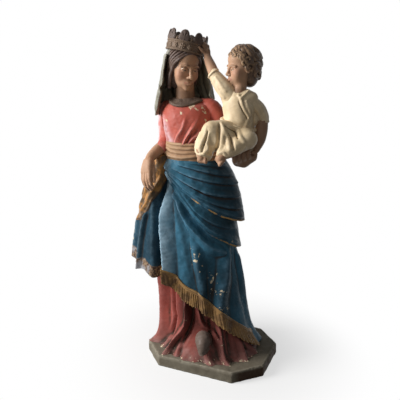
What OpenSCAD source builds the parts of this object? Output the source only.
// Painted plaster figure of a crowned mother carrying a child, on an eight-sided plinth.
// The castings are stacked and keyed along the garment edges round an iron armature.
// Angles called phi run round the post from the front (-Y) towards the viewer's right (+X).

/* [Plinth] */
// Width of the plinth
plinth_w = 370; // [350:1:420]
// Depth of the plinth, front to back
plinth_d = 280; // [270:1:330]
// Thickness of the plinth
plinth_t = 34; // [28:1:60]
// Length cut off each corner, along either side
plinth_corner = 70; // [40:1:85]
// Bevel round the top edge
plinth_bevel = 4; // [2:0.5:8]

/* [Gown and mantle] */
// Height of the skirt, from the plinth to the belt
skirt_h = 571; // [540:1:620]
// How far the mantle stands out from the gown at its hem
mantle_t = 12; // [8:0.5:16]
// How far each swag stands out at its lower edge
swag_t = 15; // [10:0.5:20]
// How much further the swags stand out where they hang at the left hip
swag_tip = 16; // [8:0.5:22]
// Relief of the largest folds
fold_h = 15; // [8:0.5:18]
// Relief of the folds on the mantle's hanging end
fall_fold_h = 10; // [5:0.5:12]
// How far its turned-over part stands out
turned_t = 5; // [3:0.5:7]
// Depth of the fringe along the hem
fringe_h = 46; // [25:1:55]
// Thickness of the fringe
fringe_t = 5; // [3:0.5:8]

/* [Belt and bodice] */
// Height of the draped sash
belt_h = 45; // [35:1:60]
// How far the sash stands out from the waist
belt_t = 8; // [6:0.5:12]
// Height of the bodice, from the sash to the neck
bodice_h = 114; // [112:1:140]
// Relief of the gathered folds on the bodice
bodice_fold_h = 7; // [3:0.5:10]
// Radius of the neckline band's bead
collar_r = 7; // [5:0.5:9]

/* [Head and veil] */
// Radius of the neck
neck_r = 26; // [22:0.5:28]
// Length of the neck, from the bodice to the middle of the head
neck_h = 86; // [70:1:90]
// Height of the head, from chin to top
head_h = 124; // [120:1:140]
// Width of the head across the cheeks
head_w = 81; // [78:1:94]
// Depth of the head, from brow to back
head_d = 98; // [96:1:112]
// Turn of the head towards the child
head_turn = 44; // [30:1:55]
// Lean of the head towards the child
head_tilt = 7; // [0:0.5:10]
// Forward nod of the head
head_nod = 5; // [0:0.5:10]
// Thickness of the hair over the skull
hair_t = 5; // [4:0.5:7]
// Thickness of the veil
veil_t = 7; // [6:0.5:9]
// Relief of the veil's pleats
pleat_h = 4; // [2:0.5:5]

/* [Crown] */
// Outer radius of the crown's band
crown_r = 54; // [54:0.5:62]
// Height of the crown's band
crown_h = 29; // [22:0.5:34]
// Thickness of the crown's band
crown_t = 5; // [4:0.5:7]
// Number of leaves
crown_leaves = 8; // [6:1:10]
// Height of a leaf above the band
leaf_h = 27; // [20:0.5:34]
// Width of a leaf
leaf_w = 31; // [24:0.5:34]
// Radius of the bosses between the leaves
boss_r = 4; // [3:0.25:5]

/* [Arms and hands] */
// Radius of the upper sleeve
sleeve_r = 23; // [20:0.5:26]
// Radius of the forearm at the wrist
wrist_r = 14; // [12:0.5:16]
// Length of the hands, from wrist to fingertip
hand_l = 82; // [72:1:90]
// Thickness of a finger
finger_r = 6.5; // [5.5:0.25:7.5]

/* [Child] */
// Height of the child's trunk, from lap to neck
trunk_h = 120; // [104:1:122]
// Width of the child's trunk at the chest
trunk_w = 84; // [76:1:92]
// Depth of the child's trunk
trunk_d = 66; // [60:1:72]
// Height of the child's head, from chin to top
child_head_h = 96; // [92:1:106]
// Width of the child's head
child_head_w = 75; // [72:1:84]
// Thickness of the child's curls
curl_t = 10; // [8:0.5:12]
// Radius of the child's sleeves
child_sleeve_r = 19; // [16:0.5:21]
// Radius of the child's forearms
child_arm_r = 12; // [10:0.5:14]
// Radius of the child's thighs under the cloth
thigh_r = 27; // [24:0.5:30]
// Radius of the child's shins under the cloth
shin_r = 20; // [17:0.5:22]

/* [Armature] */
// Radius of the iron post
post_r = 10; // [7:0.5:12]
// Radius of the hollow that the post stands in
channel_r = 34; // [30:1:36]
// Depth of the post's socket in the plinth
post_socket = 20; // [12:1:26]
// Thickness of the wooden centring discs
disc_t = 18; // [12:1:24]
// Radius of the dowels that hold the castings together
dowel_r = 6; // [4:0.5:7]
// Radius of the rod that carries the child
rod_r = 7; // [5:0.5:8]

/* [Fits] */
// Bed of plaster between two castings
fit_gap = 0.3; // [0.2:0.05:0.6]
// Room round a post, rod or dowel in its hole
bore_gap = 0.4; // [0.3:0.05:0.8]

/* [Hidden] */

gown_red = "#a8564e";
mantle_blue = "#2f5670";
gilt = "#9a7440";
flesh = "#c09a78";
cream = "#d8cdb0";
veil_grey = "#6f6e66";
crown_grey = "#6a6056";
hair_brown = "#5b4232";
stone_grey = "#8b8672";
iron_grey = "#4a4a4c";
wood_tan = "#b08a5a";

// Sides of the garment rings
around = 48;
step = 360 / around;
// The post stands on this axis, and the garment rings are measured from it
post = [-45, 0];
plinth_top = plinth_t;
belt_low = plinth_top + skirt_h;
belt_high = belt_low + belt_h;
bodice_top = belt_high + bodice_h;
channel_top = belt_high + 48;
// Millimetres along the cloth for one degree round the figure
arc = 1.9;

// Body sections, [share of the height, half width, half depth, centre x, centre y]
skirt_sections = [[0, 146, 114, -12, -6], [0.045, 134, 105, -14, -5], [0.115, 122, 96, -20, -3],
    [0.22, 115, 90, -28, 0], [0.36, 113, 86, -38, 2], [0.5, 110, 84, -45, 3], [0.675, 106, 82, -44, 4],
    [0.815, 103, 80, -43, 4], [0.92, 97, 78, -49, 4], [1, 84, 72, -60, 4]];
bodice_sections = [[0, 77, 66, -68, 4], [0.3, 76, 69, -72, 1], [0.56, 77, 67, -76, 1],
    [0.76, 77, 59, -78, 3], [0.9, 68, 48, -80, 5], [1, 37, 34, -86, 6]];
neck_at = [-88, 6];

// Lower edges of the garments, [phi, height above the plinth]
hem_edge = [[-120, 10], [-100, 120], [-82, 232], [-60, 238], [-36, 216], [-3, 170], [27, 148], [56, 95],
    [80, 44], [95, 14], [115, 8], [180, 8], [240, 10]];
swag_low_edge = [[-60, 536], [-28, 490], [10, 425], [38, 374], [62, 346], [85, 322], [110, 316],
    [150, 380], [200, 470], [250, 520], [300, 536]];
swag_up_edge = [[-60, 552], [-36, 526], [0, 482], [30, 450], [62, 416], [95, 396], [120, 404],
    [160, 460], [205, 515], [255, 545], [300, 552]];

// Folds, [start, middle, end, half width, share of the relief], as [phi, height above the plinth]
mantle_folds = [[[-53, 530], [-47, 380], [-46, 200], 26, 1], [[-22, 460], [-8, 330], [-4, 160], 20, 0.75],
    [[12, 390], [42, 280], [57, 90], 30, 1], [[70, 330], [84, 200], [92, 20], 26, 0.9],
    [[112, 320], [118, 180], [120, 0], 28, 1], [[150, 380], [150, 200], [150, 0], 26, 0.8],
    [[185, 440], [182, 220], [180, 0], 26, 0.9], [[220, 500], [214, 250], [212, 0], 26, 0.8],
    [[262, 520], [250, 300], [244, 0], 26, 1]];
swag_low_folds = [[[-50, 520], [0, 440], [100, 340], 16, 0.8], [[120, 340], [170, 440], [250, 530], 18, 0.6]];
swag_up_folds = [[[-50, 545], [0, 500], [98, 430], 15, 0.8], [[-40, 556], [10, 530], [95, 480], 13, 0.6],
    [[-25, 565], [30, 548], [90, 525], 12, 0.5], [[120, 430], [170, 510], [250, 552], 18, 0.5]];
gown_folds = [[[-76, 250], [-76, 170], [-76, 90], 40, 1.9], [[-84, 80], [-84, 40], [-84, 0], 34, 1.3],
    [[-52, 230], [-50, 110], [-60, 0], 24, 1.1],
    [[-22, 210], [-24, 100], [-36, 0], 18, 0.7], [[-3, 190], [-3, 90], [-12, 0], 18, 0.9],
    [[55, 110], [53, 60], [53, 0], 18, 0.9], [[36, 130], [34, 60], [30, 0], 20, 0.5],
    [[69, 80], [68, 40], [68, 0], 18, 0.6], [[84, 60], [86, 30], [88, 0], 20, 0.8]];
bodice_folds = [[[-30, 0], [-16, 30], [-4, 86], 12, 1], [[-10, 0], [4, 30], [22, 80], 12, 1],
    [[4, 0], [16, 22], [34, 60], 12, 0.8], [[-52, 0], [-50, 30], [-46, 70], 12, 0.7],
    [[150, 0], [160, 40], [180, 80], 16, 0.8], [[200, 0], [195, 40], [190, 90], 16, 0.8]];

// Vectors, tables and curves
function unit(v) = v / norm(v);
function mix(a, b, t) = a + (b - a) * t;
function clamp01(t) = min(1, max(0, t));
function column(table, k) = [for (r = table) [r[0], r[k]]];
function heading(phi) = [sin(phi), -cos(phi)];
function bezier(a, b, c, n) = [for (i = [0:n]) let (t = i / n) mix(mix(a, b, t), mix(b, c, t), t)];
function edge_height(edge, phi) =
    let (first = edge[0][0], p = first + ((phi - first) % 360 + 360) % 360)
    lookup(p, concat(edge, [[first + 360, edge[0][1]]]));
// Smooth curve through points of any size, with n steps between two of them
function spline(p, n) = let (m = len(p) - 1) [for (i = [0:m - 1]) for (k = [0:(i == m - 1 ? n : n - 1)])
    let (t = k / n, a = p[max(i - 1, 0)], b = p[i], c = p[i + 1], d = p[min(i + 2, m)])
    0.5 * (2 * b + (c - a) * t + (2 * a - 5 * b + 4 * c - d) * t * t + (3 * b - a - 3 * c + d) * t * t * t)];

// Distance from a point to a line through points
function segment_distance(p, a, b) =
    let (ab = b - a, t = clamp01(((p - a) * ab) / (ab * ab))) norm(p - a - ab * t);
function line_distance(p, line) =
    min([for (i = [0:len(line) - 2]) segment_distance(p, line[i], line[i + 1])]);
// A fold's ridge is a raised cosine across its line
function ridge(d, w) = abs(d) < w ? (1 + cos(180 * d / w)) / 2 : 0;
function on_cloth(q) = [q[0] * arc, q[1]];
function laid(folds) =
    [for (f = folds) [bezier(on_cloth(f[0]), on_cloth(f[1]), on_cloth(f[2]), 5), f[3], f[4]]];
function fold_at(lines, phi, h) = max([for (f = lines) for (turn = [-360, 0, 360])
    f[2] * ridge(line_distance([(phi + turn) * arc, h], f[0]), f[1])]);
mantle_lines = laid(mantle_folds);
swag_low_lines = laid(swag_low_folds);
swag_up_lines = laid(swag_up_folds);
gown_lines = laid(gown_folds);
bodice_lines = laid(bodice_folds);

// Distance from a point to an ellipse, in the direction phi
function to_ellipse(phi, from, c, a, b) =
    let (d = heading(phi), p = [(from.x - c.x) / a, (from.y - c.y) / b], q = [d.x / a, d.y / b],
        qq = q * q, pq = p * q)
    (-pq + sqrt(pq * pq - qq * (p * p - 1))) / qq;
function section_radius(table, share, phi, from) =
    to_ellipse(phi, from, [lookup(share, column(table, 3)), lookup(share, column(table, 4))],
        lookup(share, column(table, 1)), lookup(share, column(table, 2)));
function skirt_radius(phi, h) = section_radius(skirt_sections, clamp01(h / skirt_h), phi, post);

// Garment edges and the surface of each garment, as heights above the plinth
function hem(phi) = edge_height(hem_edge, phi) * skirt_h / 571;
function swag_low(phi) = edge_height(swag_low_edge, phi) * skirt_h / 571;
function swag_up(phi) = edge_height(swag_up_edge, phi) * skirt_h / 571;
function gown_radius(phi, h) =
    let (room = clamp01((hem(phi) - h) / 30), foot = clamp01(1 - h / 70))
    skirt_radius(phi, h) + room * fold_h * (1 + 0.6 * foot) * fold_at(gown_lines, phi, h);
function mantle_radius(phi, v) =
    let (h = mix(hem(phi), swag_low(phi), v), fade = clamp01((1 - v) / 0.2))
    skirt_radius(phi, h) + mix(mantle_t, 5, v) + fade * fold_h * fold_at(mantle_lines, phi, h);
function swag_low_radius(phi, v) =
    let (h = mix(swag_low(phi), swag_up(phi), v))
    skirt_radius(phi, h) + mix(swag_t + swag_tip * 0.3 * ridge((phi - 92) * arc, 70), 6, v)
        + (1 - v) * fold_h / 2 * fold_at(swag_low_lines, phi, h);
function swag_up_radius(phi, v) =
    let (h = mix(swag_up(phi), skirt_h, v))
    skirt_radius(phi, h) + mix(swag_t + 3 + swag_tip * ridge((phi - 90) * arc, 70), 4, v)
        + (1 - v) * fold_h / 2 * fold_at(swag_up_lines, phi, h);

function ring_point(phi, r, z) = [post.x + r * sin(phi), post.y - r * cos(phi), z];
function phis() = [for (i = [0:around - 1]) i * step];

// A casting that is cut to its neighbours, kept at its own size
module cast() {
    resize([0, 0, 0]) difference() {
        children(0);
        children([1:$children - 1]);
    }
}

// Solid with rings joined in a loop. Bands named in flipped take the other diagonal.
module looped_skin(rings, flipped = []) {
    n = len(rings[0]);
    m = len(rings);
    faces = [for (j = [0:m - 1]) for (i = [0:n - 1])
        let (after = (i + 1) % n, above = ((j + 1) % m) * n, a = j * n + i, b = j * n + after,
            c = above + i, d = above + after)
        each (len(search(j, flipped)) > 0 ? [[a, c, b], [c, d, b]] : [[a, c, d], [a, d, b]])];
    polyhedron(points = [for (r = rings) each r], faces = faces, convexity = 10);
}

// Solid with rings joined in a row and closed at both ends by fans
module capped_skin(rings) {
    n = len(rings[0]);
    m = len(rings);
    middle = function (r) [for (k = [0:2]) ([for (p = r) 1] * [for (p = r) p[k]]) / n];
    points = concat([for (r = rings) each r], [middle(rings[0]), middle(rings[m - 1])]);
    walls = [for (j = [0:m - 2]) for (i = [0:n - 1])
        let (a = j * n + i, b = j * n + (i + 1) % n, c = a + n, d = b + n) each [[a, c, d], [a, d, b]]];
    ends = [for (i = [0:n - 1]) each
        [[m * n, i, (i + 1) % n], [m * n + 1, (m - 1) * n + (i + 1) % n, (m - 1) * n + i]]];
    polyhedron(points = points, faces = concat(walls, ends), convexity = 10);
}

// Rings across a path whose points are [x, y, z, half width, half thickness]
function path_rings(path, n, up) = [for (i = [0:len(path) - 1])
    let (p = path[i], along = unit(place(path[min(i + 1, len(path) - 1)]) - place(path[max(i - 1, 0)])),
        side = unit(cross(along, up)), out = cross(side, along))
    [for (k = [0:n - 1]) let (a = 360 * k / n) place(p) + side * p[3] * cos(a) - out * p[4] * sin(a)]];

// Rounded limb along a smooth curve through a few points
module limb(points, up = [0, 0, 1], n = 12, steps = 3, grow = 0) {
    fat = [for (p = points) p + [0, 0, 0, grow, grow]];
    capped_skin(path_rings(rounded_ends(spline(fat, steps)), n, up));
}
// A path with a point added at each end, so that the ends close in a dome
function rounded_ends(p) =
    let (m = len(p) - 1, a = p[0], b = p[m], ua = unit(place(a) - place(p[1])),
        ub = unit(place(b) - place(p[m - 1])))
    concat([dome(a, ua, 0.95, 0.35), dome(a, ua, 0.7, 0.75)], p,
        [dome(b, ub, 0.7, 0.75), dome(b, ub, 0.95, 0.35)]);
function place(p) = [p[0], p[1], p[2]];
function dome(p, dir, reach, share) =
    concat(place(p) + dir * min(p[3], p[4]) * reach, [p[3] * share, p[4] * share]);

// Garment ring between two edges, hollow for the post. A ledge is the radius of the casting below or above.
module garment_ring(low, high, radius, rows, ledge_low = undef, ledge_high = undef) {
    ring = function (reach, v)
        [for (p = phis()) ring_point(p, reach(p), plinth_top + mix(low(p), high(p), v))];
    channel = function (p) channel_r;
    under = is_undef(ledge_low) ? [] : [ring(ledge_low, 0)];
    over = is_undef(ledge_high) ? [] : [ring(ledge_high, 1)];
    walls = [for (v = rows) ring(function (p) radius(p, v), v)];
    looped_skin(concat([ring(channel, 0)], under, walls, over, [ring(channel, 1)]), [0]);
}

function even_rows(n) = [for (i = [0:n]) i / n];
function on_plinth(phi) = 0;
function at_belt_low(phi) = skirt_h;
function at_belt_high(phi) = skirt_h + belt_h;

// Mantle rows follow the fringe first, so that the fringe lies on them face to face
function fringe_share(phi) = min(0.4, fringe_h / (swag_low(phi) - hem(phi)));
function mantle_row(phi, k, n) =
    k <= 2 ? fringe_share(phi) * k / 2 : mix(fringe_share(phi), 1, (k - 2) / (n - 2));
mantle_rows = 9;

gown_rows = [0, 0.06, 0.14, 0.26, 0.42, 0.6, 0.8, 1];
function gown_wall(phi, v) = gown_radius(phi, hem(phi) * v);
function bodice_radius(phi, h) = let (share = h / bodice_h)
    section_radius(bodice_sections, share, phi, bodice_origin(share))
        + bodice_fold_h * clamp01(h / 14) * clamp01((0.86 - share) / 0.2) * fold_at(bodice_lines, phi, h);
// The rings of the bodice are measured from the post at the belt and from the neck at the top
function bodice_origin(share) = mix(post, neck_at, clamp01(share * 1.15));
function waist_radius(phi, h) = mix(skirt_radius(phi, skirt_h), bodice_radius(phi, 0), h / belt_h);
// The sash is gathered in three rolls
function belt_radius(phi, v) =
    waist_radius(phi, v * belt_h) + belt_t * (0.62 + 0.38 * abs(sin(180 * (2.5 * v + 0.25 * sin(2 * phi)))));
function belt_row(phi, v) = belt_radius(phi, v);

module armature_holes() {
    translate([post.x, post.y, plinth_top - post_socket])
        cylinder(r = post_r + bore_gap, h = skirt_h, $fn = 48);
}

module octagon(inset) {
    w = plinth_w / 2 - inset;
    d = plinth_d / 2 - inset;
    c = plinth_corner - inset * 0.586;
    polygon([[-w, -d + c], [-w + c, -d], [w - c, -d], [w, -d + c],
        [w, d - c], [w - c, d], [-w + c, d], [-w, d - c]]);
}

module plinth() {
    color(stone_grey) difference() {
        union() {
            linear_extrude(plinth_t - plinth_bevel) octagon(0);
            translate([0, 0, plinth_t - plinth_bevel]) hull() {
                linear_extrude(0.01) octagon(0);
                translate([0, 0, plinth_bevel - 0.01]) linear_extrude(0.01) octagon(plinth_bevel);
            }
        }
        armature_holes();
    }
}

module gown_skirt() {
    color(gown_red) cast() {
        garment_ring(function (p) on_plinth(p), function (p) hem(p),
            function (p, v) gown_wall(p, v), gown_rows);
        shoe_form(fit_gap);
    }
}

module mantle_skirt() {
    inner_low = [for (p = phis()) ring_point(p, channel_r, plinth_top + hem(p))];
    inner_high = [for (p = phis()) ring_point(p, channel_r, plinth_top + swag_low(p))];
    under = [for (p = phis()) ring_point(p, gown_wall(p, 1), plinth_top + hem(p))];
    walls = [for (k = [0:mantle_rows]) mantle_wall(k)];
    color(mantle_blue) looped_skin(concat([inner_low, under], walls, [inner_high]), [0]);
}
function mantle_wall(k) = [for (p = phis()) let (v = mantle_row(p, k, mantle_rows))
    ring_point(p, mantle_radius(p, v), plinth_top + mix(hem(p), swag_low(p), v))];

// The fringe lies on the lowest rows of the mantle, on the front and the right side
fringe_from = -48;
fringe_to = 96;
module fringe_form(g) {
    turns = [for (i = [round(fringe_from / step):round(fringe_to / step)]) i * step];
    last = len(turns) - 1;
    rise = [-g, 0, g];
    at = function (p, k, out) let (v = mantle_row(p, k, mantle_rows))
        ring_point(p, mantle_radius(p, v) + out, plinth_top + mix(hem(p), swag_low(p), v) + rise[k]);
    inside = [for (p = turns) [for (k = [0:2]) at(p, k, 0)]];
    outside = [for (p = turns) [for (k = [0:2]) at(p, k, fringe_t * (k == 2 ? 0.6 : 1) + g)]];
    loops = [for (i = [0:last]) concat(inside[i], [outside[i][2], outside[i][1], outside[i][0]])];
    n = 6;
    walls = [for (i = [0:last - 1]) for (k = [0:n - 1])
        let (a = i * n + k, b = i * n + (k + 1) % n, c = a + n, d = b + n) each
        (k < 2 ? [[a, d, b], [a, c, d]] : [[a, c, b], [b, c, d]])];
    ends = [[0, 1, 2, 3, 4, 5], [for (k = [5:-1:0]) last * n + k]];
    polyhedron(points = [for (l = loops) each l], faces = concat(walls, ends), convexity = 10);
}
module hem_fringe() {
    color(gilt) fringe_form(0);
}

module mantle_swag_lower() {
    color(mantle_blue) garment_ring(function (p) swag_low(p), function (p) swag_up(p),
        function (p, v) swag_low_radius(p, v), even_rows(4), function (p) mantle_radius(p, 1));
}

module mantle_swag_upper() {
    color(mantle_blue) garment_ring(function (p) swag_up(p), function (p) at_belt_low(p),
        function (p, v) swag_up_radius(p, v), even_rows(6), function (p) swag_low_radius(p, 1));
}

module belt_sash() {
    color(gilt) cast() {
        garment_ring(function (p) at_belt_low(p), function (p) at_belt_high(p),
            function (p, v) belt_row(p, v), even_rows(7),
            function (p) swag_up_radius(p, 1), function (p) bodice_radius(p, 0));
        child_rod_form(bore_gap);
    }
}

bodice_shares = [0, 0.08, 0.18, 0.3, 0.43, 0.56, 0.68, 0.78, 0.86, 0.92, 0.97, 1];
module bodice() {
    channel = [for (z = [channel_top, belt_high]) [for (p = phis()) ring_point(p, channel_r, z)]];
    walls = [for (s = bodice_shares) bodice_ring(s, 0)];
    color(gown_red) cast() {
        capped_skin(concat([for (r = channel) r], walls));
        head_dowel_form(bore_gap);
        child_rod_form(bore_gap);
    }
}
function bodice_ring(share, grow) = [for (p = phis())
    let (o = bodice_origin(share), r = bodice_radius(p, share * bodice_h) + grow)
    [o.x + r * sin(p), o.y - r * cos(p), belt_high + share * bodice_h]];

// Solid outer forms of the garment rings, grown by a gap, to cut what lies against them
function form_walls(low, high, radius, rows, g) = [for (v = concat([-1], rows, [2])) [for (p = phis())
    let (t = clamp01(v), z = mix(low(p), high(p), t) + (v < 0 ? -g : v > 1 ? g : 0))
    ring_point(p, radius(p, t) + g, plinth_top + z)]];
module gown_form(g) {
    capped_skin(form_walls(function (p) on_plinth(p), function (p) hem(p),
        function (p, v) gown_wall(p, v), gown_rows, g));
}
module mantle_form(g) {
    capped_skin([for (k = [0:mantle_rows]) [for (p = phis()) let (v = mantle_row(p, k, mantle_rows))
        ring_point(p, mantle_radius(p, v) + g,
            plinth_top + mix(hem(p), swag_low(p), v) + (k == 0 ? -g : k == mantle_rows ? g : 0))]]);
}
module swag_low_form(g) {
    capped_skin(form_walls(function (p) swag_low(p), function (p) swag_up(p),
        function (p, v) swag_low_radius(p, v), even_rows(4), g));
}
module swag_up_form(g) {
    capped_skin(form_walls(function (p) swag_up(p), function (p) at_belt_low(p),
        function (p, v) swag_up_radius(p, v), even_rows(6), g));
}
module belt_form(g) {
    capped_skin(form_walls(function (p) at_belt_low(p), function (p) at_belt_high(p),
        function (p, v) belt_row(p, v), even_rows(7), g));
}
module bodice_form(g) {
    capped_skin([for (s = bodice_shares) bodice_ring(s, g)]);
}
module torso_form(g) {
    swag_up_form(g);
    belt_form(g);
    bodice_form(g);
}

// Toe of a shoe, let into the gown between two folds
module shoe_form(g) {
    limb([[0, -62, plinth_top + 50, 24, 22], [12, -92, plinth_top + 50, 24, 22],
        [20, -116, plinth_top + 46, 19, 17]], grow = g);
}
module shoe_tip() {
    color(crown_grey) shoe_form(0);
}

// The mantle's end hangs over the right arm, in folds round an axis of its own.
// Heights are from the belt. Each outline, [height, points], runs from the front edge round to the back.
fall_low = -352;
fall_high = 6;
fall_outlines = [
    [fall_low, [[-142, -90], [-154, -100], [-180, -90], [-208, -72], [-262, -30], [-232, 42], [-160, 78],
        [-104, 46], [-102, -30]]],
    [-230, [[-138, -86], [-154, -96], [-176, -84], [-200, -68], [-244, -24], [-222, 38], [-156, 74],
        [-100, 46], [-98, -28]]],
    [-120, [[-134, -80], [-152, -90], [-170, -76], [-188, -60], [-220, -18], [-206, 34], [-150, 70],
        [-100, 44], [-98, -24]]],
    [0, [[-130, -62], [-144, -64], [-156, -52], [-166, -30], [-172, -4], [-166, 30], [-140, 58],
        [-100, 40], [-96, -20]]]];
// Its lower edge and the edge above which it is turned over, [phi, height from the belt]
fall_edge = [[-180, -300], [-104, -308], [-82, -318], [-66, -346], [-46, -340], [-32, -352], [-10, -312],
    [14, -332], [30, -334], [70, -330], [120, -310]];
turned_edge = [[-180, -30], [-140, -120], [-110, -214], [-75, -208], [-40, -178], [-6, -146], [11, -108],
    [16, -76], [40, -40], [90, -20], [140, -10]];
fall_folds = [[[-7, -140], [-14, -220], [-24, -352], 16, 1], [[-42, -150], [-46, -240], [-46, -352], 17, 0.9],
    [[-78, -120], [-80, -240], [-76, -352], 22, 0.9], [[-120, -60], [-116, -200], [-112, -352], 24, 0.8],
    [[-150, -60], [-146, -200], [-144, -352], 22, 0.7]];
turned_folds = [[[12, -40], [-10, -100], [-70, -190], 16, 0.8],
    [[-8, -30], [-40, -90], [-92, -180], 16, 0.7]];
fall_lines = laid(fall_folds);
turned_lines = laid(turned_folds);
// Narrow columns where the end shows, wide ones where it lies against the mantle
fall_columns = concat([for (p = [-168:8:24]) p], [for (p = [42:21:180]) p]);
fall_rows = even_rows(9);
function cross_2d(a, b) = a.x * b.y - a.y * b.x;
// Distance from a centre to a closed outline, in the direction phi
function outline_reach(outline, centre, phi) = let (d = heading(phi), n = len(outline))
    max([for (i = [0:n - 1]) let (a = outline[i] - centre, e = outline[(i + 1) % n] - outline[i],
        k = cross_2d(d, e), t = cross_2d(a, e) / k, u = cross_2d(a, d) / k)
        t > 0 && u >= 0 && u <= 1 ? t : 0]);
function fall_axis(h) = mix([-134, -6], [-162, -14], clamp01(h / fall_low));
fall_reaches = [for (p = fall_columns)
    [for (o = fall_outlines) [o[0], outline_reach(o[1], fall_axis(o[0]), p)]]];
// The folds stand on a surface that lies a little inside the outlines
function fall_relief(phi, h) =
    let (over = clamp01((h - edge_height(turned_edge, phi)) / 20), hanging = fold_at(fall_lines, phi, h),
        turned = fold_at(turned_lines, phi, h))
    fall_fold_h * (mix(hanging, turned, over) - 0.4) + turned_t * over;
function fall_ring(v) = [for (i = [0:len(fall_columns) - 1])
    let (p = fall_columns[i], h = mix(edge_height(fall_edge, p), fall_high, v), o = fall_axis(h),
        r = lookup(h, fall_reaches[i]) + fall_relief(p, h))
    [o.x + r * sin(p), o.y - r * cos(p), belt_low + h]];
module fall_form() {
    capped_skin([for (v = fall_rows) fall_ring(v)]);
}
module mantle_fall() {
    color(mantle_blue) cast() {
        fall_form();
        gown_form(fit_gap);
        mantle_form(fit_gap);
        swag_low_form(fit_gap);
        swag_up_form(fit_gap);
        belt_form(fit_gap);
        fringe_form(fit_gap);
        right_sleeve_form(fit_gap);
        right_hand_form(fit_gap);
    }
}

// Arms
shoulder_z = bodice_top - 22;
right_elbow = [-142, -16, belt_low + 34];
right_cuff = [-142, -46, belt_low + 25];
right_wrist = [-150, -94, belt_low + 4];
module right_sleeve_form(g) {
    limb([[-138, 6, shoulder_z - 2, sleeve_r - 1, sleeve_r - 1],
        [-144, 2, shoulder_z - 46, sleeve_r, sleeve_r],
        concat(right_elbow, [sleeve_r, sleeve_r]),
        concat(right_cuff, [sleeve_r - 3, sleeve_r - 4])], grow = g);
}
module right_sleeve() {
    color(gown_red) cast() {
        right_sleeve_form(0);
        torso_form(fit_gap);
        right_hand_dowel_form(bore_gap);
    }
}
// Hand with four fingers side by side and a thumb, which reaches from a wrist with its back facing out
finger_reach = [0.93, 1, 1, 0.88];
module hand_form(wrist, reach, across, out, curl, g) {
    palm = wrist + reach * hand_l * 0.28;
    knuckle = wrist + reach * hand_l * 0.56;
    limb([concat(wrist - reach * 8, [wrist_r, wrist_r * 0.85]), concat(palm, [finger_r * 3.1, wrist_r * 0.8]),
        concat(knuckle, [finger_r * 3.5, wrist_r * 0.62])], up = out, n = 10, steps = 2, grow = g);
    for (k = [0:3]) {
        root = knuckle + across * finger_r * 1.75 * (k - 1.5);
        tip = wrist + reach * hand_l * finger_reach[k] + across * finger_r * 1.6 * (k - 1.5) - out * curl;
        bend = mix(root, tip, 0.55) + out * curl * 0.2;
        limb([concat(root - reach * 6, [finger_r, finger_r]), concat(bend, [finger_r, finger_r]),
            concat(tip, [finger_r * 0.75, finger_r * 0.75])], up = out, n = 6, steps = 1, grow = g);
    }
    thumb = palm + across * finger_r * 2.6;
    limb([concat(thumb - reach * 8, [finger_r, finger_r]),
        concat(thumb + reach * 16 + across * 9 - out * 3, [finger_r, finger_r]),
        concat(thumb + reach * 38 + across * 8 - out * 8, [finger_r * 0.8, finger_r * 0.8])],
        up = out, n = 6, steps = 1, grow = g);
}
// The right forearm is bare below the sleeve and is cast with the hand
module right_hand_form(g) {
    hand_form(right_wrist + [0, -14, -10], unit([-0.02, -0.1, -1]), [1, 0, 0], unit([0, -1, 0.1]), 10, g);
    limb([concat(right_cuff + [0, 8, 2], [wrist_r + 3, wrist_r + 3]), concat(right_wrist, [wrist_r, wrist_r]),
        concat(right_wrist + [0, -12, -10], [wrist_r, wrist_r - 1])], n = 12, steps = 2, grow = g);
}
module right_hand() {
    color(flesh) cast() {
        right_hand_form(0);
        right_sleeve_form(fit_gap);
        torso_form(fit_gap);
        right_hand_dowel_form(bore_gap);
    }
}
left_wrist = [92, -42, belt_low + 8];
module left_sleeve_form(g) {
    limb([[-26, 6, shoulder_z - 2, sleeve_r - 4, sleeve_r - 4], [-2, 4, shoulder_z - 6, sleeve_r, sleeve_r],
        [14, 6, shoulder_z - 42, sleeve_r + 1, sleeve_r],
        [30, 6, belt_low + 42, sleeve_r, sleeve_r], [58, -14, belt_low + 18, sleeve_r, sleeve_r - 2],
        concat(left_wrist, [wrist_r + 5, wrist_r + 3])], grow = g);
}
module left_sleeve() {
    color(gown_red) cast() {
        left_sleeve_form(0);
        torso_form(fit_gap);
        left_hand_dowel_form(bore_gap);
        child_rod_form(bore_gap);
    }
}
module left_hand_form(g) {
    hand_form(left_wrist + [10, -8, -1], unit([0.45, -0.85, 0.12]), unit([0.8, 0.42, 0.1]),
        unit([0, -0.1, -1]), 16, g);
}
module left_hand() {
    color(flesh) cast() {
        left_hand_form(0);
        left_sleeve_form(fit_gap);
        left_hand_dowel_form(bore_gap);
    }
}

// Neck and head. Inside head_place the face looks along -Y.
head_at = [neck_at.x + 2, neck_at.y - 14, bodice_top + neck_h];
module head_place() {
    translate(head_at) rotate([0, head_tilt, 0]) rotate([head_nod, 0, head_turn]) children();
}
module ball(size, at, n = 16) {
    translate(at) scale(size) sphere(r = 1, $fn = n);
}
module skull_form(g) {
    head_place() {
        ball([head_w / 2 + g, head_d / 2 + g, head_h * 0.39 + g], [0, 4, head_h * 0.11]);
        ball([head_w * 0.35 + g, head_d * 0.33 + g, head_h * 0.3 + g], [0, -head_d * 0.1, -head_h * 0.2]);
        ball([5 + g, 9 + g, 12 + g], [0, -head_d * 0.43, -head_h * 0.06], 14);
    }
}
module head_form(g) {
    skull_form(g);
    limb([[neck_at.x, neck_at.y, bodice_top - 20, neck_r + 3, neck_r + 3],
        [neck_at.x + 1, neck_at.y - 3, bodice_top + 20, neck_r, neck_r],
        [head_at.x, head_at.y + 6, head_at.z - 20, neck_r, neck_r]], up = [0, -1, 0], n = 16, grow = g);
}
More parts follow.
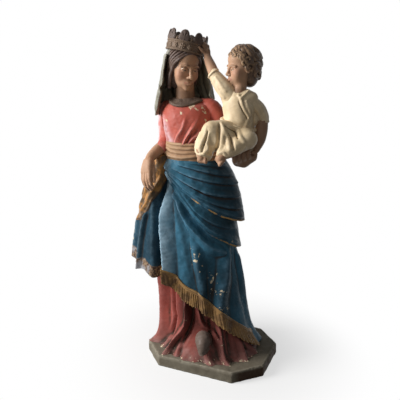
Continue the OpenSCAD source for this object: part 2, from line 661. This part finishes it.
module head_and_neck() {
    color(flesh) cast() {
        head_form(0);
        translate([-300, -200, bodice_top - 100]) cube([400, 400, 100]);
        head_dowel_form(bore_gap);
        crown_place() crown_cut(fit_gap);
    }
}
module neckline_form(g) {
    translate([neck_at.x, neck_at.y - 1, bodice_top - 2]) rotate_extrude($fn = 24)
        translate([neck_r + 4 + collar_r, 0]) circle(r = collar_r + g, $fn = 8);
}
module neckline_band() {
    color(crown_grey) cast() {
        neckline_form(0);
        bodice_form(fit_gap);
        head_form(fit_gap);
    }
}
// The face shows through an arch that is cut from hair and veil
module face_arch(half, top) {
    head_place() {
        translate([0, -20, top - half]) rotate([90, 0, 0]) cylinder(r = half, h = 140, $fn = 32);
        translate([-half, -160, -150]) cube([2 * half, 140, 150 + top - half]);
    }
}
// The hair ends under the crown
module hair_form(g) {
    intersection() {
        head_place() {
            ball([head_w / 2 + hair_t + g, head_d / 2 + hair_t + g, head_h * 0.39 + hair_t + g],
                [0, 5, head_h * 0.11]);
            ball([head_w / 2 + g, head_d * 0.36 + g, head_h * 0.36 + g], [0, 10, -head_h * 0.2]);
        }
        crown_place() translate([-2 * head_d, -2 * head_d, -3 * head_h - fit_gap + g])
            cube([4 * head_d, 4 * head_d, 3 * head_h]);
    }
}
module hair() {
    color(hair_brown) cast() {
        hair_form(0);
        head_form(fit_gap);
        face_arch(head_w * 0.4, head_h * 0.36);
        bodice_form(fit_gap);
        neckline_form(fit_gap);
    }
}
// The veil is a shell that hangs from under the crown, open in front. Its heights are from the bodice's top.
// Sections of its inside, [height, half width, half depth]
veil_sections = [[-58, 73, 62], [-44, 75, 62], [-30, 76, 64], [-8, 73, 64], [18, 66, 64], [45, 59, 64],
    [72, 53, 62], [98, 49, 58], [120, 45, 51], [144, 30, 34], [151, 12, 14]];
// Edges of its opening, [height, phi on the child's far side, phi on the child's side]
veil_sides = [[-70, -60, 130], [-44, -48, 120], [-20, -34, 96], [0, -31, 84], [42, -28, 102],
    [124, -16, 104]];
veil_pleats = 7.5;
veil_around = 48;
// Heights at which the hollow round the hair narrows and ends
hollow_narrow = 78;
hollow_top = 96;
function veil_z(h) = bodice_top + h * (neck_h + head_h / 2) / 144;
function veil_axis(h) = let (lean = clamp01(h / 90))
    [mix(neck_at.x, head_at.x, lean) - 5, mix(neck_at.y, head_at.y + 4, lean) + 4];
// The pleats deepen downwards and are counted from one edge of the opening, round the back, to the other
function pleat(phi, h) = let (from = lookup(h, column(veil_sides, 1)), to = lookup(h, column(veil_sides, 2)),
    u = ((from - phi) % 360 + 360) % 360 / (360 - to + from))
    u < 1 ? pleat_h * clamp01((122 - h) / 130) * cos(360 * veil_pleats * u) : 0;
function veil_ring(h, share, n, out) = [for (k = [0:n - 1])
    let (p = 360 * k / n, c = veil_axis(h), half_w = lookup(h, column(veil_sections, 1)) * share,
        half_d = lookup(h, column(veil_sections, 2)) * share,
        r = to_ellipse(p, c, c, half_w, half_d) + out + (out > 0 ? pleat(p, h) : 0))
    [c.x + r * sin(p), c.y - r * cos(p), veil_z(h)]];
module veil_form() {
    capped_skin([for (s = veil_sections) veil_ring(s[0], 1, veil_around, veil_t)]);
}
module veil_hollow() {
    below = [for (s = veil_sections) if (s[0] < hollow_narrow) s[0]];
    capped_skin(concat([veil_ring(below[0] - 20, 1, 24, 0)], [for (h = below) veil_ring(h, 1, 24, 0)],
        [veil_ring(hollow_narrow, 0.96, 24, 0), veil_ring(hollow_top, 0.5, 24, 0)]));
}
module veil_opening() {
    reach = 2 * head_d;
    capped_skin([for (s = veil_sides) let (c = veil_axis(s[0]))
        concat([[c.x, c.y, veil_z(s[0])]], [for (t = [0, 0.25, 0.5, 0.75, 1]) let (p = mix(s[1], s[2], t))
            [c.x + reach * sin(p), c.y - reach * cos(p), veil_z(s[0])]])]);
}
module veil() {
    color(veil_grey) cast() {
        veil_form();
        veil_hollow();
        veil_opening();
        head_form(fit_gap);
        hair_form(fit_gap);
        bodice_form(fit_gap);
        neckline_form(fit_gap);
        right_sleeve_form(fit_gap);
        left_sleeve_form(fit_gap);
        crown_place() crown_cut(fit_gap, crown_t);
    }
}

// Crown, seated on the veil
crown_at = [head_at.x + 2, head_at.y + 4, head_at.z + head_h * 0.3];
module crown_place() {
    translate(crown_at) rotate([0, head_tilt, 0]) children();
}
// Room for the crown, and outside it where something would stand past the band
module crown_cut(g, outside = 0) {
    translate([0, 0, -g]) difference() {
        cylinder(r = crown_r + g + outside, h = crown_h + leaf_h, $fn = 64);
        translate([0, 0, -1]) cylinder(r = crown_r - crown_t - g, h = crown_h + leaf_h + 2, $fn = 64);
    }
}
module crown_band() {
    color(crown_grey) crown_place() difference() {
        cylinder(r = crown_r, h = crown_h, $fn = 64);
        translate([0, 0, -1]) cylinder(r = crown_r - crown_t, h = crown_h + 2, $fn = 64);
    }
}
// Turn of the first leaf from the front
first_leaf = 14;
// A leaf has a round head on a narrow foot
module leaf_outline() {
    head = leaf_w * 0.36;
    translate([0, leaf_h - head]) circle(r = head, $fn = 32);
    for (side = [-1, 1]) translate([side * leaf_w * 0.28, leaf_h * 0.36]) circle(r = leaf_w * 0.22, $fn = 32);
    translate([-leaf_w * 0.24, 0]) square([leaf_w * 0.48, leaf_h * 0.6]);
}
module crown_leaves() {
    color(crown_grey) crown_place() for (k = [0:crown_leaves - 1])
        rotate([0, 0, 360 * k / crown_leaves + first_leaf])
        translate([0, -crown_r + crown_t / 2, crown_h]) rotate([90, 0, 0]) translate([0, 0, -crown_t * 0.35])
            linear_extrude(crown_t * 0.7) leaf_outline();
}
module crown_bosses() {
    color(gilt) crown_place() for (k = [0:crown_leaves - 1])
        rotate([0, 0, 360 * (k + 0.5) / crown_leaves + first_leaf])
        translate([0, -crown_r + crown_t / 2, crown_h + boss_r * 0.8]) difference() {
            sphere(r = boss_r, $fn = 20);
            translate([-2 * boss_r, -2 * boss_r, -2 * boss_r - boss_r * 0.8])
                cube([4 * boss_r, 4 * boss_r, 2 * boss_r]);
        }
}

// The child sits on the left forearm
seat = [90, -58, belt_low + 64];
child_neck = [seat.x - 1, seat.y + 12, seat.z + trunk_h];
module lap_form(g) {
    right_knee = seat + [-46, -50, 28];
    right_foot = seat + [-72, -68, -16];
    left_knee = seat + [24, -50, 6];
    left_foot = seat + [-16, -74, -29];
    hull() {
        ball([44 + g, 36 + g, 40 + g], seat + [2, 2, -10]);
        ball([thigh_r - 4 + g, thigh_r - 4 + g, thigh_r - 4 + g], right_knee);
        ball([shin_r - 2 + g, shin_r - 6 + g, shin_r - 4 + g], right_foot);
        ball([thigh_r - 2 + g, thigh_r - 2 + g, thigh_r - 6 + g], left_knee);
        ball([shin_r - 4 + g, shin_r - 6 + g, shin_r - 6 + g], left_foot);
    }
    limb([concat(seat + [-18, -24, 22], [thigh_r, thigh_r]),
        concat(right_knee + [0, -2, 3], [thigh_r - 2, thigh_r - 3]),
        concat(mix(right_knee, right_foot, 0.5) + [-2, -12, 4], [shin_r + 2, shin_r]),
        concat(right_foot + [0, -2, 4], [shin_r - 4, shin_r - 6])], n = 12, grow = g);
    limb([concat(left_knee + [2, -2, 4], [thigh_r - 2, thigh_r - 5]),
        concat(mix(left_knee, left_foot, 0.5) + [0, -12, 2], [shin_r + 2, shin_r]),
        concat(left_foot + [2, 0, 4], [shin_r - 4, shin_r - 6])], n = 12, grow = g);
}
module child_lap() {
    color(cream) cast() {
        lap_form(0);
        torso_form(fit_gap);
        swag_low_form(fit_gap);
        left_sleeve_form(fit_gap);
        left_hand_form(fit_gap);
        child_rod_form(bore_gap);
    }
}
module trunk_form(g) {
    limb([concat(seat + [-2, 4, 6], [trunk_w / 2 - 1, trunk_d / 2]),
        concat(seat + [-1, 6, trunk_h * 0.36], [trunk_w / 2 - 2, trunk_d / 2]),
        concat(seat + [0, 9, trunk_h * 0.68], [trunk_w / 2 + 2, trunk_d / 2 + 1]),
        concat(seat + [-1, 12, trunk_h * 0.9], [trunk_w * 0.4, trunk_d * 0.4])],
        up = [0, -1, 0], n = 18, grow = g);
}
module child_trunk() {
    color(cream) cast() {
        trunk_form(0);
        lap_form(fit_gap);
        bodice_form(fit_gap);
        belt_form(fit_gap);
        left_sleeve_form(fit_gap);
        child_dowel_form(bore_gap);
        child_rod_form(bore_gap);
    }
}
module child_waist_cord() {
    color(cream) cast() {
        translate(seat + [0, 5, trunk_h * 0.22]) rotate([0, 8, 0]) scale([trunk_w / 2, trunk_d / 2, 1])
            rotate_extrude($fn = 32) translate([1, 0]) scale([0.16, 6]) circle(r = 1, $fn = 8);
        trunk_form(fit_gap);
        lap_form(fit_gap);
        bodice_form(fit_gap);
        left_sleeve_form(fit_gap);
        child_lower_form(fit_gap);
    }
}
child_head_at = child_neck + [3, 14, 62];
child_turn = -50;
module child_head_place() {
    translate(child_head_at) rotate([0, 0, child_turn]) rotate([4, 0, 0]) children();
}
module child_head_form(g) {
    child_head_place() {
        ball([child_head_w / 2 + g, child_head_w * 0.52 + g, child_head_h * 0.42 + g],
            [0, 2, child_head_h * 0.08]);
        ball([child_head_w * 0.39 + g, child_head_w * 0.38 + g, child_head_h * 0.3 + g],
            [0, -child_head_w * 0.1, -child_head_h * 0.2]);
        ball([4 + g, 6 + g, 6 + g], [0, -child_head_w * 0.47, -child_head_h * 0.08], 14);
    }
    limb([concat(child_neck + [0, 0, -14], [19, 18]), concat(child_neck + [-1, 2, 12], [18, 17]),
        concat(child_head_at + [0, 0, -24], [20, 20])], up = [0, -1, 0], n = 16, steps = 3, grow = g);
}
module child_head() {
    color(flesh) cast() {
        child_head_form(0);
        trunk_form(fit_gap);
        child_raised_sleeve_form(fit_gap);
        child_dowel_form(bore_gap);
    }
}
// Rows of curls wind round the back of the child's head
curl_rows = [[-20, 5], [8, 6], [34, 5], [60, 3], [86, 1]];
module curls_form(g) {
    child_head_place() {
        base = curl_t * 0.6 + g;
        ball([child_head_w / 2 + base, child_head_w * 0.52 + base, child_head_h * 0.42 + base],
            [0, 4, child_head_h * 0.1]);
        ball([child_head_w * 0.46 + g, child_head_w * 0.36 + g, child_head_h * 0.36 + g],
            [0, child_head_w * 0.22, -child_head_h * 0.2]);
        for (row = curl_rows) for (k = [0:row[1] - 1])
            let (t = (k + 0.5) / row[1], a = row[0] < 20 ? mix(70, 290, t) : mix(0, 360, t),
                r = (child_head_w / 2 + curl_t * 0.3) * cos(row[0]))
            ball([curl_t + 2 + g, curl_t + 2 + g, curl_t + g], [r * sin(a), 4 - r * 1.04 * cos(a),
                child_head_h * (0.12 + 0.44 * sin(row[0]))], 8);
    }
}
module child_curls() {
    color(hair_brown) cast() {
        curls_form(0);
        child_head_form(fit_gap);
        trunk_form(fit_gap);
        child_head_place() {
            translate([0, -10, -child_head_h * 0.1]) rotate([90, 0, 0])
                cylinder(r = child_head_w * 0.41, h = 100, $fn = 32);
            translate([-child_head_w * 0.41, -110, -100])
                cube([child_head_w * 0.82, 100, 100 - child_head_h * 0.1]);
        }
        child_raised_sleeve_form(fit_gap);
    }
}
raised_shoulder = child_neck + [-30, -7, 0];
raised_elbow = child_neck + [-69, -4, 43];
raised_wrist = child_neck + [-103, 32, 92];
module child_raised_sleeve_form(g) {
    limb([concat(raised_shoulder + [12, 2, -12], [child_sleeve_r + 3, child_sleeve_r + 2]),
        concat(raised_shoulder + [-4, 0, 6], [child_sleeve_r + 1, child_sleeve_r]),
        concat(raised_elbow, [child_sleeve_r - 2, child_sleeve_r - 3])], n = 12, grow = g);
}
module child_raised_sleeve() {
    color(cream) cast() {
        child_raised_sleeve_form(0);
        trunk_form(fit_gap);
        bodice_form(fit_gap);
        left_sleeve_form(fit_gap);
    }
}
module child_raised_form(g) {
    limb([concat(raised_elbow, [child_arm_r + 1, child_arm_r + 1]),
        concat(mix(raised_elbow, raised_wrist, 0.5) + [-2, 0, 0], [child_arm_r, child_arm_r]),
        concat(raised_wrist, [child_arm_r - 3, child_arm_r - 3]),
        concat(raised_wrist + [-1, 2, 14], [child_arm_r - 1, child_arm_r - 4]),
        concat(raised_wrist + [-2, 3, 32], [child_arm_r - 3, child_arm_r - 6])],
        up = [0, -1, 0], n = 12, steps = 3, grow = g);
}
module child_raised_arm() {
    color(flesh) cast() {
        child_raised_form(0);
        child_raised_sleeve_form(fit_gap);
        bodice_form(fit_gap);
        crown_place() crown_cut(fit_gap);
    }
}
lower_elbow = child_neck + [56, 26, -74];
lower_wrist = child_neck + [58, 2, -130];
module child_lower_sleeve_form(g) {
    limb([concat(child_neck + [26, 4, -22], [child_sleeve_r + 2, child_sleeve_r + 2]),
        concat(child_neck + [46, 20, -46], [child_sleeve_r, child_sleeve_r]),
        concat(lower_elbow, [child_sleeve_r - 2, child_sleeve_r - 2])], n = 12, grow = g);
}
module child_lower_sleeve() {
    color(cream) cast() {
        child_lower_sleeve_form(0);
        trunk_form(fit_gap);
    }
}
module child_lower_form(g) {
    limb([concat(lower_elbow + [0, 0, 6], [child_arm_r + 1, child_arm_r + 1]),
        concat(lower_wrist, [child_arm_r - 2, child_arm_r - 3]),
        concat(lower_wrist + [-2, -8, -12], [child_arm_r - 1, child_arm_r - 5]),
        concat(lower_wrist + [-6, -14, -22], [child_arm_r - 3, child_arm_r - 6])],
        n = 12, steps = 3, grow = g);
}
module child_lower_arm() {
    color(flesh) cast() {
        child_lower_form(0);
        child_lower_sleeve_form(fit_gap);
        lap_form(fit_gap);
        left_hand_form(fit_gap);
    }
}
module foot(ankle, toe) {
    limb([concat(ankle, [11, 11]), concat(mix(ankle, toe, 0.55) + [0, 0, 2], [11, 9]), concat(toe, [10, 7])],
        n = 12, steps = 3);
}
module child_right_foot() {
    color(flesh) cast() {
        foot(seat + [-72, -70, -20], seat + [-64, -84, -47]);
        lap_form(fit_gap);
        torso_form(fit_gap);
    }
}
module child_left_foot() {
    color(flesh) cast() {
        foot(seat + [-10, -74, -29], seat + [-22, -88, -45]);
        lap_form(fit_gap);
        torso_form(fit_gap);
    }
}

// Armature
post_h = channel_top - plinth_top + post_socket - 6;
module armature_post() {
    color(iron_grey) translate([post.x, post.y, plinth_top - post_socket])
        cylinder(r = post_r, h = post_h, $fn = 48);
}
disc_heights = [30, 0.52 * skirt_h, skirt_h + 2];
module centring_discs() {
    color(wood_tan) for (h = disc_heights) translate([post.x, post.y, plinth_top + h]) difference() {
        cylinder(r = channel_r * cos(step / 2) - fit_gap, h = disc_t, $fn = 60);
        translate([0, 0, -1]) cylinder(r = post_r + bore_gap, h = disc_t + 2, $fn = 48);
    }
}
// Iron rod from the post to the child's seat
rod_from = [post.x, post.y, belt_low + 34];
rod_to = seat + [0, -4, 0];
// The rod slopes, so its square end starts where its lower edge just touches the post
rod_lean = acos((rod_to.z - rod_from.z) / norm(rod_to - rod_from));
rod_start = (post_r + rod_r * cos(rod_lean)) / sin(rod_lean) + fit_gap;
module along_rod() {
    d = rod_to - rod_from;
    translate(rod_from) rotate([0, acos(d.z / norm(d)), atan2(d.y, d.x)]) children();
}
module child_rod_form(g) {
    along_rod() translate([0, 0, rod_start])
        cylinder(r = rod_r + g, h = norm(rod_to - rod_from) - rod_start + g, $fn = 32);
}
module child_rod() {
    color(iron_grey) child_rod_form(0);
}
module head_dowel_form(g) {
    translate([neck_at.x, neck_at.y - 4, bodice_top - 44 - g])
        cylinder(r = dowel_r + g, h = 90 + 2 * g, $fn = 32);
}
module child_dowel_form(g) {
    translate(child_neck - [0, 0, 34 + g]) cylinder(r = dowel_r + g, h = 64 + 2 * g, $fn = 32);
}
module between(a, b, r, g) {
    d = b - a;
    translate(a - unit(d) * g) rotate([0, acos(d.z / norm(d)), atan2(d.y, d.x)])
        cylinder(r = r + g, h = norm(d) + 2 * g, $fn = 24);
}
module right_hand_dowel_form(g) {
    between(right_cuff + [-5, 8, 3], right_cuff + [-3, -26, -9], dowel_r * 0.6, g);
}
module left_hand_dowel_form(g) {
    between(left_wrist + [-14, 8, 2], left_wrist + [14, -12, -1], dowel_r * 0.6, g);
}
module head_dowel() {
    color(wood_tan) head_dowel_form(0);
}
module child_head_dowel() {
    color(wood_tan) child_dowel_form(0);
}
module right_hand_dowel() {
    color(wood_tan) right_hand_dowel_form(0);
}
module left_hand_dowel() {
    color(wood_tan) left_hand_dowel_form(0);
}

plinth();
gown_skirt();
shoe_tip();
mantle_skirt();
hem_fringe();
mantle_swag_lower();
mantle_swag_upper();
mantle_fall();
belt_sash();
bodice();
neckline_band();
head_and_neck();
hair();
veil();
crown_band();
crown_leaves();
crown_bosses();
right_sleeve();
right_hand();
left_sleeve();
left_hand();
child_lap();
child_trunk();
child_waist_cord();
child_head();
child_curls();
child_raised_sleeve();
child_raised_arm();
child_lower_sleeve();
child_lower_arm();
child_right_foot();
child_left_foot();
armature_post();
centring_discs();
child_rod();
head_dowel();
child_head_dowel();
right_hand_dowel();
left_hand_dowel();
